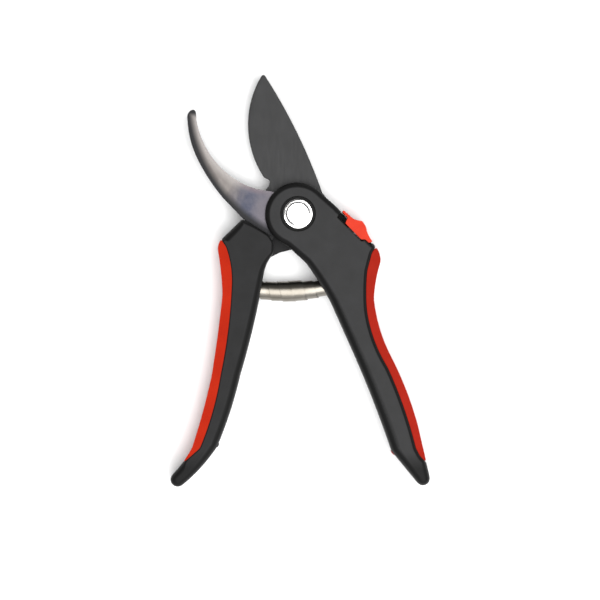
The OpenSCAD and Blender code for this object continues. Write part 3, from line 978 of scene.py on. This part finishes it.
def distance_to(line, points):
    """How far each point is from an open line."""
    return np.min(np.linalg.norm(points[:, None] - line, axis=-1), axis=1)


def grinding(profile):
    """A cutter turned round the cutting edge's centre, which stops at the heel."""
    (x, y), _ = CUTTING_EDGE
    ring = lathe("ring", profile, closed=True, steps=360, place=Matrix.Translation((x, y, 0)))
    region = loft("region", [at_level(np.array(BEVEL_REGION, float), z) for z in (0, FRONT)])
    return combine(ring, [region], "INTERSECT")


def cutting_blade():
    """The convex blade: ground from the back to the cutting edge, with a fine bevel on the front."""
    centre, radius = CUTTING_EDGE
    reach = 2  # of the cutters, past the cutting edge
    low, high = 1, FRONT - 1  # levels clear of the blade
    slope, fine_slope = (EDGE_Z - EDGE_LAND - BLADE_LOW) / BEVEL_W, (BLADE_HIGH - EDGE_Z) / FINE_W
    back = [(radius - BEVEL_W, BLADE_LOW), (radius - BEVEL_W, low), (radius + reach, low),
            (radius + reach, BLADE_LOW + slope * (BEVEL_W + reach))]
    front = [(radius - FINE_W, BLADE_HIGH), (radius + reach, BLADE_HIGH - fine_slope * (FINE_W + reach)),
             (radius + reach, high), (radius - FINE_W, high)]
    piece = cut(
        slab("cutting_blade", BLADE_OUTLINE, BLADE_LOW, BLADE_HIGH, 0.2, 0.12, 0, 2),
        grinding(back),
        grinding(front),
        lathe("bush_hole", rod(BUSH_R + 0.02, 0, FRONT)),
        prism("notch", turned(BLADE_NOTCH, CATCH_TURN - SHUT_TURN), 0, FRONT))
    finish(piece, "cutting_blade_coated", COAT, "left_lever", "cutting_blade", "coated_blade")
    piece.data.materials.append(GROUND)
    for face in piece.data.polygons:
        x, y, _ = face.center / MM
        by_edge = y > BEVEL_END_Y and math.dist((x, y), centre) > radius - BEVEL_W
        slants_back = -0.99 < face.normal.z < -0.3
        if by_edge and slants_back:
            face.material_index = 1
    return piece


def hook_blade():
    """The counter blade: a broad rounded bevel along its outer side and tip, a fine one elsewhere."""
    points = soften(HOOK_OUTLINE, 1)
    side = [HOOK_TIP, *HOOK_OUTER_SIDE]
    outer = np.vstack([arc(a, b) for a, b in zip(side, side[1:])])
    on_outer = (distance_to(outer, points) < 0.5).astype(float)
    width = HOOK_EDGE + HOOK_BEVEL_W * soften(on_outer, 10)
    rings = edge_rings(points, HOOK_LOW, HOOK_EDGE, 1, 0, 3)
    rings += edge_rings(points, HOOK_HIGH, width, -1, 6, 9, thin=True, depth=HOOK_BEVEL_W)[::-1]
    piece = cut(loft("hook", rings), lathe("bolt_hole", rod(BOLT_R + PLAY, 0, FRONT)))
    return finish(piece, "counter_blade", HOOK_STEEL, "right_lever", "hook_blade", "hook_steel")


cutting_blade()
hook_blade()

# ---- pivot ----


def pivot_bolt():
    """Polished low head with a fine turned ring near its rim, and the shank down to the back."""
    z, top = WASHER_HIGH, HEAD_HIGH
    shank = [(0, BACK), (BOLT_R - 0.5, BACK), (BOLT_R, BACK + 0.5), (BOLT_R, z)]
    # from the washer up; the turned ring is the shallow groove between the radii 6.25 and 5
    head = rounded([
        (HEAD_R - 0.25, z, 0), (HEAD_R, z + 0.3, 0.2), (HEAD_R, top - 0.6, 0.25),
        (HEAD_R - 0.3, top - 0.3, 0.2), (6.25, top - 0.16, 0.04), (5.9, top - 0.36, 0.05),
        (5, top - 0.03, 0.05), (4.3, top, 0.12), (0, top, 0)])
    bolt = lathe("bolt", shank + head, steps=160)
    return finish(bolt, "pivot_bolt_head", POLISHED, "right_lever", "pivot_bolt", "polished_steel")


WAVES = 3  # round the wave washer


def flat_ring(name, r_in, r_out, low, high, edge, wave=0.0):
    """A washer with rounded edges, bent up and down by wave."""
    corners = [(r_in, low, edge), (r_out, low, edge), (r_out, high, edge), (r_in, high, edge)]
    piece = lathe(name, rounded(corners, closed=True, steps=3), closed=True)
    for v in piece.data.vertices:
        v.co.z += wave * MM * math.cos(WAVES * math.atan2(v.co.y, v.co.x))
    return piece


def head_washer():
    """The washer round the bolt's head, near-black as painted shade for the shadow in its recess."""
    ring = flat_ring("ring", BOLT_R + PLAY, WASHER_R, WASHER_LOW, WASHER_HIGH, 0.15)
    return finish(ring, "head_washer_ring", PAINTED_SHADE_BLACK, "right_lever", "head_washer", "black_washer")


def wave_washer():
    """The spring washer under the nut, bent up and down within its place."""
    low, high = WAVE_LOW + 0.12, WAVE_HIGH - 0.12
    ring = flat_ring("wave", BOLT_R + 0.1, WAVE_R, low, high, 0.06, wave=0.1)
    return finish(ring, "wave_spring_washer", ZINC, "right_lever", "wave_washer", "zinc_steel")


def pivot_bush():
    """The bearing bush of the cutting lever."""
    ring = flat_ring("bush", BOLT_R + PLAY, BUSH_R, BUSH_LOW, BUSH_HIGH, 0.3)
    return finish(ring, "pivot_bush", BRONZE, "left_lever", "pivot_bushing", "bronze")


def pivot_nut():
    """Hexagon nut with turned chamfers and a widened mouth."""
    corners = round_pivot(NUT_R, 0, 300, 60)
    hexagon = loft("nut", [at_level(outline(corners), z) for z in (NUT_LOW, NUT_HIGH)])
    wide, deep = 1, 0.55  # the chamfers
    cone = lathe("cone", [(0, NUT_LOW), (NUT_R - wide, NUT_LOW), (NUT_R, NUT_LOW + deep),
                          (NUT_R, NUT_HIGH - deep), (NUT_R - wide, NUT_HIGH), (0, NUT_HIGH)])
    bore_r, mouth_r = BOLT_R + 0.02, BOLT_R + 0.6
    bore = lathe("nut_bore", [(0, NUT_LOW - OVER), (mouth_r, NUT_LOW - OVER), (mouth_r, NUT_LOW),
                              (bore_r, NUT_LOW + 0.5), (bore_r, NUT_HIGH + OVER), (0, NUT_HIGH + OVER)])
    nut = cut(combine(hexagon, [cone], "INTERSECT"), bore)
    return finish(nut, "pivot_hex_nut", ZINC, "right_lever", "pivot_nut", "zinc_steel")


def tang_screws(places, name, body, node):
    """Pan head screws in the back of a handle, with a cross recess."""
    low, tip = SCREW_LOW, SCREW_HIGH
    profile = rounded([
        (0, low, 0), (2.3, low + 0.1, 0.5), (SCREW_HEAD_R, low + 0.9, 0.3),
        (SCREW_HEAD_R, SCREW_HEAD_TOP, 0.1), (SCREW_R, SCREW_HEAD_TOP, 0.1),
        (SCREW_R, tip - 0.6, 0.1), (0.9, tip, 0.1), (0, tip, 0)])
    cross_half, cross_half_w, cross_deep = 1.8, 0.38, 1.2
    arm = rectangle(-cross_half, -cross_half_w, cross_half, cross_half_w)
    screws = []
    for x, y in places:
        screw = lathe("screw", profile, steps=64, place=Matrix.Translation((x, y, 0)))
        for turn in (20, 110):
            screw = cut(screw, prism("cross", turned(arm, turn) + (x, y), low - OVER, low + cross_deep))
        screws.append(screw)
    return finish(join(*screws), name, DARK_SCREW, body, node, "dark_screws")


pivot_bolt()
head_washer()
wave_washer()
pivot_bush()
pivot_nut()
tang_screws(RIGHT_SCREWS, "right_tang_screws", "right_lever", "right_handle_screws")
tang_screws(LEFT_SCREWS, "left_tang_screws", "left_lever", "left_handle_screws")

# ---- thumb catch ----


def thumb_catch():
    """The sliding button: broad bevels towards the thumb, fine ones in its pocket."""
    points = soften(CATCH_OUTLINE, 1)
    pocket_y, blend = 15.9, 0.6  # the pocket ends there, and the bevel widens over the next 0.6
    proud = soften(np.clip((points[:, 1] - pocket_y) / blend, 0, 1), 3)
    edge = 0.35 + 0.75 * proud
    button = slab("catch", turned(points, CATCH_TURN), CATCH_LOW, CATCH_HIGH, 0.4, edge, 15, 5, thin=True)
    button = cut(
        button, prism("latch_room", turned(LATCH_ROOM, CATCH_TURN), BLADE_LOW + PLAY, BLADE_HIGH - PLAY))
    return finish(button, "thumb_catch_button", CATCH_RED, "catch", "thumb_catch", "catch_plastic")


def inner_pieces():
    """The catch's hidden pieces keep their CAD meshes and only get a material."""
    for name, material in (("catch_latch", DARK_SCREW), ("catch_pin", DARK_SCREW), ("catch_spring", STRIP)):
        node = frame["nodes"][name]
        node.data.materials.clear()
        node.data.materials.append(material)


thumb_catch()
inner_pieces()

# ---- volute spring ----

STRIP_W = 6.3  # width of the strip, along the spring
STRIP_T = 0.3
PITCH = 5.4
TURN_STEPS = 48  # sections in one turn
SPRING_MID_R = 5.15
SPRING_GAP = 0.5  # between the spring and the middle of each seat
BOW = 1.45  # how far the spring's middle stands off the straight line, away from the pivot
SPRING_UP = ((0, 0.4), (0, 0.9))  # how far its ends stand towards the pivot from the middle of their seats
SPRING_TAPER = (STRIP_T / PITCH, 0.1)  # how fast it narrows towards the left and the right end
BEND_REACH = 5  # the bend between the handles starts this far inside them


def volute_spring():
    """A flat strip wound into a double cone, whose turns slide into each other towards the middle."""
    start, end = (np.array(seat[0], float) + up for seat, up in zip((LEFT_SEAT, RIGHT_SEAT), SPRING_UP))
    way = (end - start) / np.linalg.norm(end - start)
    side = np.array([-way[1], way[0]])
    length = np.linalg.norm(end - start) - 2 * SPRING_GAP
    travel = length - STRIP_W
    # the strip's section, along the spring and outwards, with two corners that keep its face flat
    half, near, edge = STRIP_W / 2, STRIP_W / 2 - 0.35, 0.1
    section = rounded([
        (-half, 0, edge), (-near, 0, 0), (near, 0, 0), (half, 0, edge), (half, -STRIP_T, edge),
        (-half, -STRIP_T, edge)], closed=True, steps=2)
    rings = []
    for s in np.linspace(0, travel, round(travel / PITCH * TURN_STEPS) + 1):
        middle = s + STRIP_W / 2
        turn = 2 * math.pi * s / PITCH
        off = middle - length / 2
        radius = SPRING_MID_R - SPRING_TAPER[int(off > 0)] * abs(off)
        ring = []
        for a, b in section:
            x = middle + a + SPRING_GAP
            r = radius + b
            bow = -BOW * (1 - (2 * x / length - 1) ** 2)
            flat = start + way * x + side * (r * math.cos(turn) + bow)
            ring.append((*flat, MID + r * math.sin(turn)))
        rings.append(np.array(ring))
    piece = loft("volute", rings)
    finish(piece, "volute_spring_strip", STRIP, None, "volute_spring", "spring_steel")
    piece.modifiers.clear()
    ends = [(*(p * MM), MID * MM) for p in (start - way * BEND_REACH, end + way * BEND_REACH)]
    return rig.blend(piece, "left_lever", "right_lever", ends[0], ends[1])


volute_spring()

# ---- floor, light and camera ----

VIEW_X, VIEW_Y = 0.97, -41.6  # the picture's centre
VIEW_W = 291  # and its width
CAMERA_H = 1500
FLOOR_HALF = 4000  # half the floor's width
FLOOR_GAP = 0.02  # the floor lies this far below the pruner, so that no faces coincide


def floor():
    """A plain pale floor under the pruner."""
    sides = (-FLOOR_HALF, FLOOR_HALF)
    corners = [(x, y, BACK - FLOOR_GAP) for x in sides for y in sides]
    piece = make("floor", corners, [(0, 2, 3, 1)])
    made = Finish("pale_floor", Roughness=0.9, Specular_IOR_Level=0.1)
    made.set(Base_Color=made.mix(made.spread(made.noise(300, 2), *NEARLY_ALL), grey(0.93), grey(0.95)))
    piece.data.materials.append(made.material)
    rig.stage(piece)


def lamp(name, x, y, z, size, power):
    """A soft square light that faces the pruner."""
    light = bpy.data.lights.new(name, "AREA")
    light.shape, light.size, light.energy = "SQUARE", size * MM, power
    holder = bpy.data.objects.new(name, light)
    bpy.context.scene.collection.objects.link(holder)
    holder.location = Vector((x, y, z)) * MM
    aim = Vector((VIEW_X, VIEW_Y, 0)) * MM - holder.location
    holder.rotation_euler = aim.to_track_quat("-Z", "Y").to_euler()


def camera():
    """Straight above the pruner, with a picture that is VIEW_W wide at the handles' middle level."""
    lens = bpy.data.cameras.new("camera")
    lens.sensor_width = 36
    lens.lens = lens.sensor_width * (CAMERA_H - MID) / VIEW_W
    lens.clip_start, lens.clip_end = 0.05, 20
    holder = bpy.data.objects.new("camera", lens)
    bpy.context.scene.collection.objects.link(holder)
    holder.location = Vector((VIEW_X, VIEW_Y, CAMERA_H)) * MM
    bpy.context.scene.camera = holder


def studio():
    """An even white surround."""
    world = bpy.data.worlds.new("studio")
    world.use_nodes = True
    background = world.node_tree.nodes["Background"]
    background.inputs["Color"].default_value = (1, 1, 1, 1)
    background.inputs["Strength"].default_value = 0.17
    bpy.context.scene.world = world
    bpy.context.scene.view_settings.view_transform = "Standard"


floor()
lamp("key", 220, -280, 1300, size=1400, power=35)
lamp("front", 0, -1200, 700, size=1100, power=4.5)
camera()
studio()

sizes = {"cad": [list(corner) for corner in cad_box], "visual": [list(corner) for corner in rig.bounds()]}
with open("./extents.json", "w") as out:
    json.dump(sizes, out)
